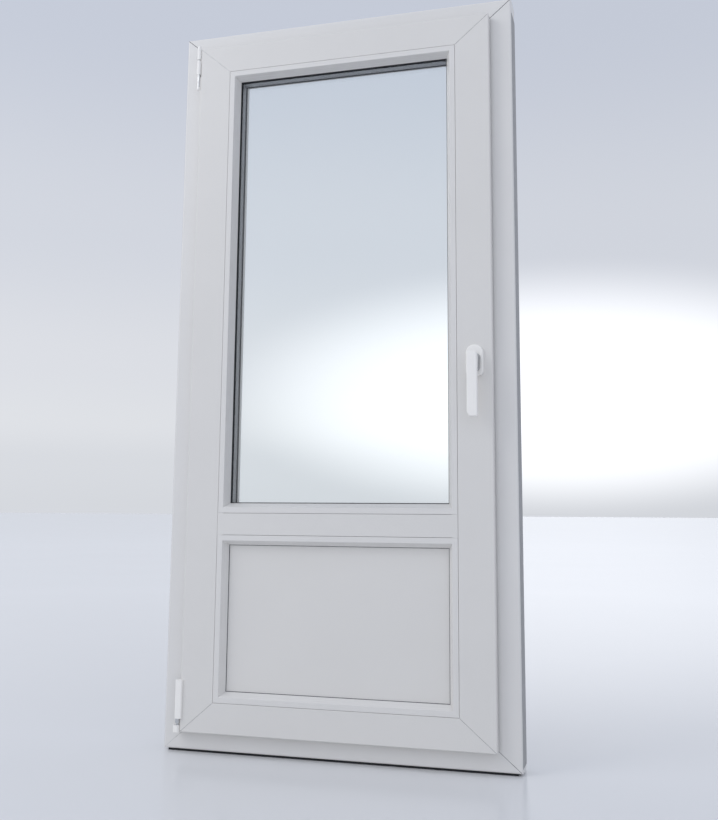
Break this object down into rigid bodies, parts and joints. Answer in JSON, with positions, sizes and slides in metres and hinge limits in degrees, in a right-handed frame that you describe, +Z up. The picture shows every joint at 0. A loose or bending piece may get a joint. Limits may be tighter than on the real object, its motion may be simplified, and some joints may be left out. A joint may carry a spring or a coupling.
{
  "type": "upvc balcony door with frame",
  "caption": "White plastic balcony door in its welded frame: inward opening leaf with clear double glazing over a solid lower panel, lever handle and corner hinges.",
  "frame": {"origin": "centre of the underside of the base strip, midway between the room face and the outside face of the frame", "axes": "+X to the right seen from the room, +Y to the outside, +Z up"},
  "size_m": [1.002, 0.158, 2.106],
  "materials": {
    "frame_white": "satin gloss white plastic",
    "sash_white": "satin gloss white plastic",
    "bead_white": "satin gloss white plastic",
    "panel_white": "smooth white plastic sheet",
    "clear_glass": "clear float glass",
    "spacer_grey": "matt grey",
    "seal_black": "matt black rubber",
    "tape_grey": "matt grey foam tape",
    "hardware_white": "white powder coat",
    "hardware_steel": "zinc plated"
  },
  "bodies": {
    "frame": {"frame_base_strip": "seal_black", "frame_head": "frame_white", "frame_jamb_left": "frame_white", "frame_jamb_right": "frame_white", "frame_side_tapes": "tape_grey", "frame_sill": "frame_white", "frame_stop_seal": "seal_black", "lock_keeps": "hardware_steel", "lower_hinge_bearing": "hardware_white", "upper_hinge_bracket": "hardware_white", "upper_hinge_foot_cap": "hardware_white", "upper_hinge_pin": "hardware_steel"},
    "turn_pivot": {"lower_pivot_pin": "hardware_steel"},
    "stay": {"stay_arm": "hardware_steel", "stay_hinge_cap": "hardware_white", "stay_hinge_sleeve": "hardware_white"},
    "handle": {"handle_lever": "hardware_white", "handle_spindle": "hardware_steel"},
    "leaf": {"glass_bead_bottom": "bead_white", "glass_bead_left": "bead_white", "glass_bead_right": "bead_white", "glass_bead_top": "bead_white", "glass_gasket_inner": "seal_black", "glass_gasket_outer": "seal_black", "glass_pane_inner": "clear_glass", "glass_pane_outer": "clear_glass", "glass_spacer": "spacer_grey", "handle_rosette": "hardware_white", "lock_faceplate": "hardware_steel", "lower_hinge_band": "hardware_steel", "lower_hinge_cover": "hardware_white", "lower_panel": "panel_white", "panel_bead_bottom": "bead_white", "panel_bead_left": "bead_white", "panel_bead_right": "bead_white", "panel_bead_top": "bead_white", "panel_gasket_inner": "seal_black", "panel_gasket_outer": "seal_black", "sash_bottom_rail": "sash_white", "sash_overlap_seal": "seal_black", "sash_stile_left": "sash_white", "sash_stile_right": "sash_white", "sash_top_rail": "sash_white", "sash_transom": "sash_white", "stay_guide_rail": "hardware_steel"}
  },
  "joints": [
    {"name": "leaf_turn", "type": "hinge", "parent": "frame", "child": "turn_pivot", "pos_m": [-0.4466, -0.067, 0.067], "axis": [0, 0, -1], "range_deg": [0, 95]},
    {"name": "leaf_tilt", "type": "hinge", "parent": "turn_pivot", "child": "leaf", "pos_m": [-0.4466, -0.067, 0.067], "axis": [-1, 0, 0], "range_deg": [-4, 0]},
    {"name": "stay_swing", "type": "hinge", "parent": "turn_pivot", "child": "stay", "pos_m": [-0.4466, -0.067, 2.037], "axis": [0, 0, -1], "range_deg": [0, 20]},
    {"name": "handle_turn", "type": "hinge", "parent": "leaf", "child": "handle", "pos_m": [0.3915, -0.0786, 1.0655], "axis": [0, -1, 0], "range_deg": [-180, 0]}
  ],
  "couplings": [
    {"joint": "stay_swing", "follows": "leaf_tilt", "ratio": -5}
  ]
}
